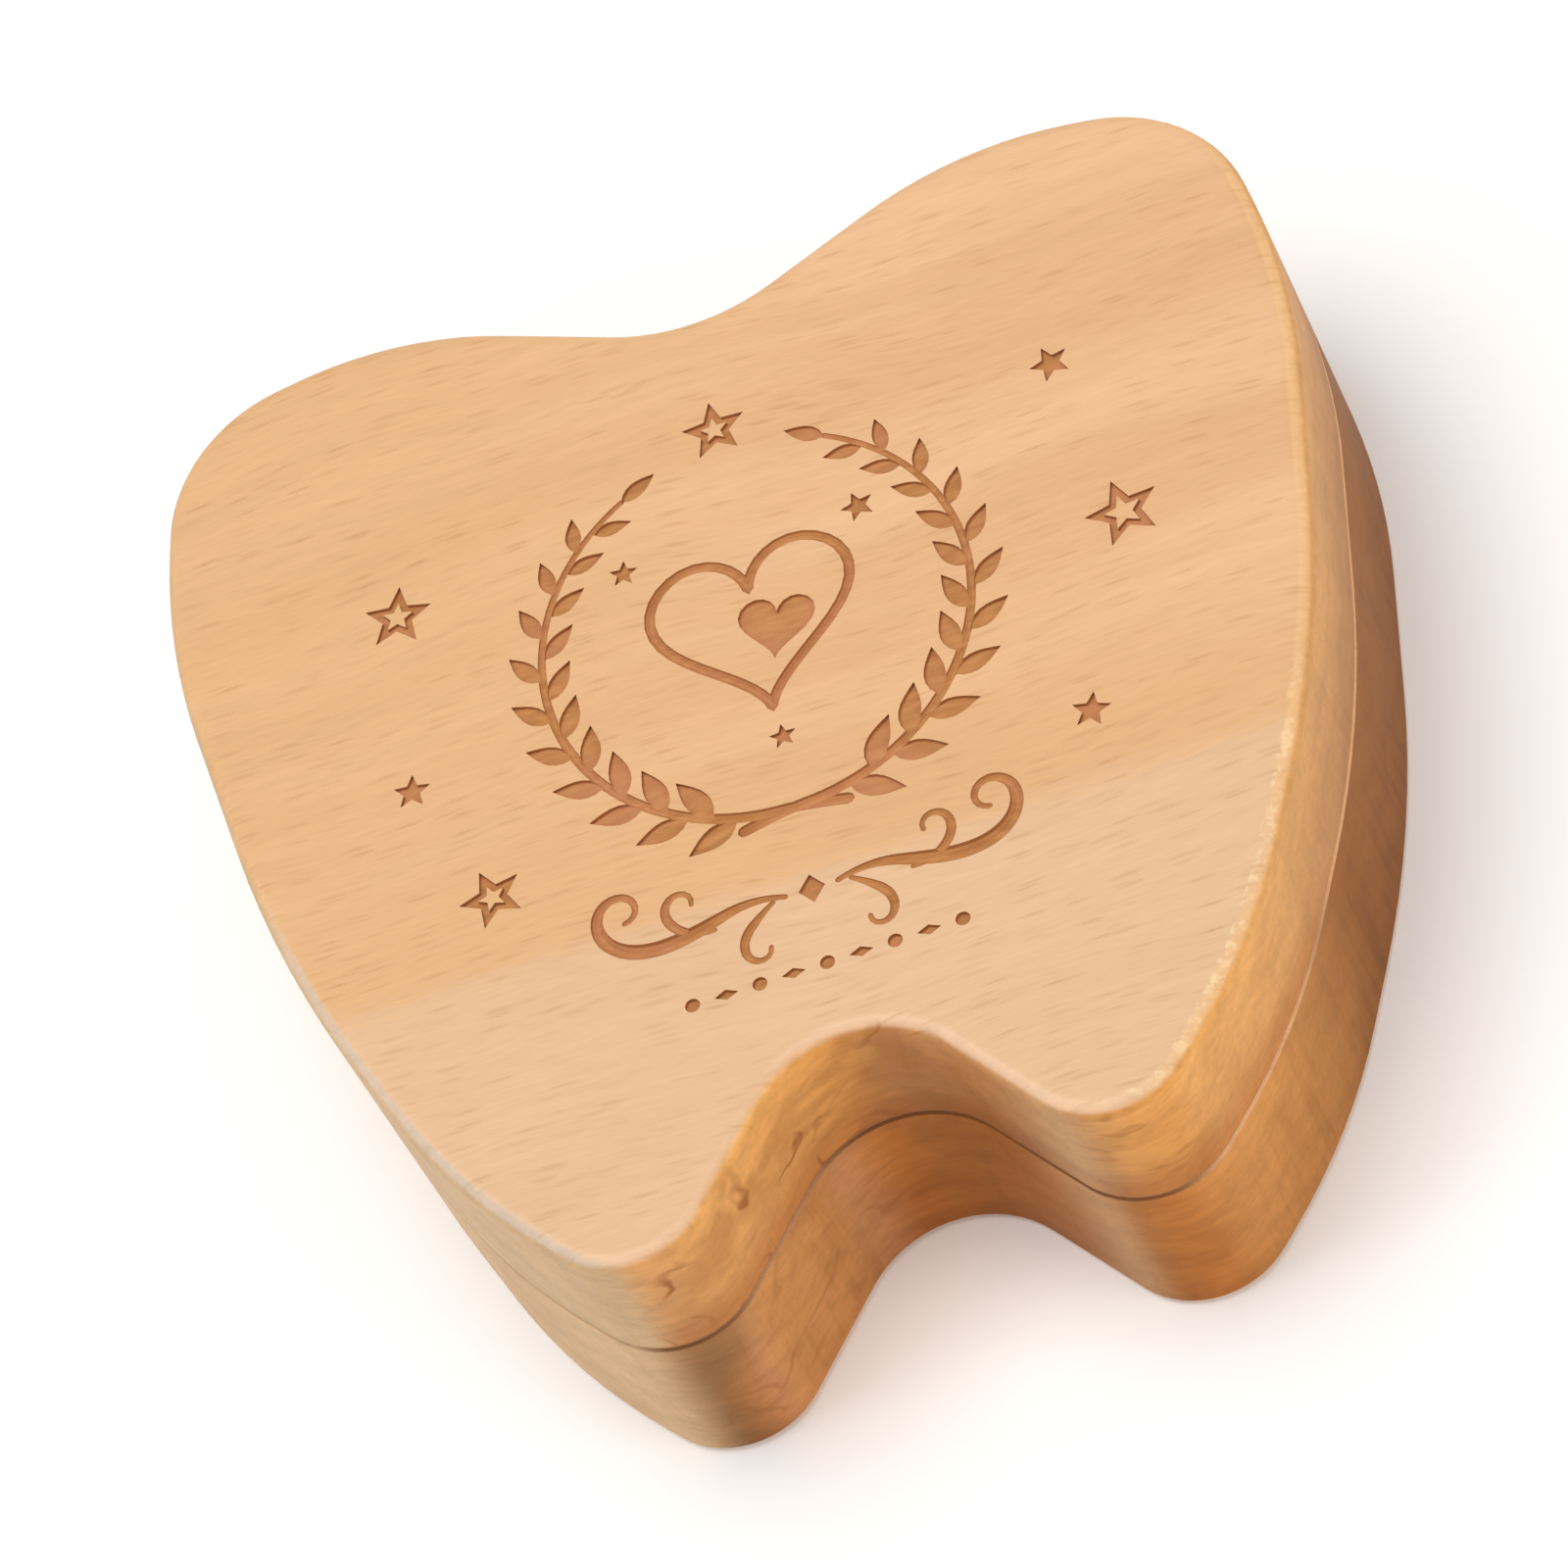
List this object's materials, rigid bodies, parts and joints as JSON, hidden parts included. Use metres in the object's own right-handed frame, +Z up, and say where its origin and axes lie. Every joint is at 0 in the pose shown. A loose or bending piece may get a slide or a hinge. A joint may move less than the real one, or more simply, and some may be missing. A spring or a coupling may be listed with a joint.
{
  "type": "tooth keepsake box",
  "caption": "Tooth-shaped beech keepsake box whose lid swivels aside on a hidden screw pivot and is held shut by magnets.",
  "frame": {"origin": "middle of the closed box's outline, on the underside that it stands on", "axes": "+Z up from underside to engraved top, +Y from the roots to the crown, +X across the tooth"},
  "size_m": [0.065, 0.0632, 0.0216],
  "materials": {
    "beech_base": "sanded and oiled beech",
    "beech_lid": "sanded and oiled beech, engraved top",
    "screw_steel": "zinc plated",
    "washer_steel": "zinc plated",
    "spacer_nylon": "natural nylon",
    "magnet_nickel": "nickel plated"
  },
  "bodies": {
    "base": {"base": "beech_base", "head_washer": "washer_steel", "spacer_washer": "spacer_nylon", "base_magnet_left": "magnet_nickel", "base_magnet_right": "magnet_nickel"},
    "lid": {"lid": "beech_lid", "pivot_screw": "screw_steel", "lid_magnet_left": "magnet_nickel", "lid_magnet_right": "magnet_nickel"}
  },
  "joints": [
    {"name": "lid_swivel", "type": "hinge", "parent": "base", "child": "lid", "pos_m": [-0.0208, 0.02054, 0.0122], "axis": [0, 0, 1], "continuous": true}
  ]
}
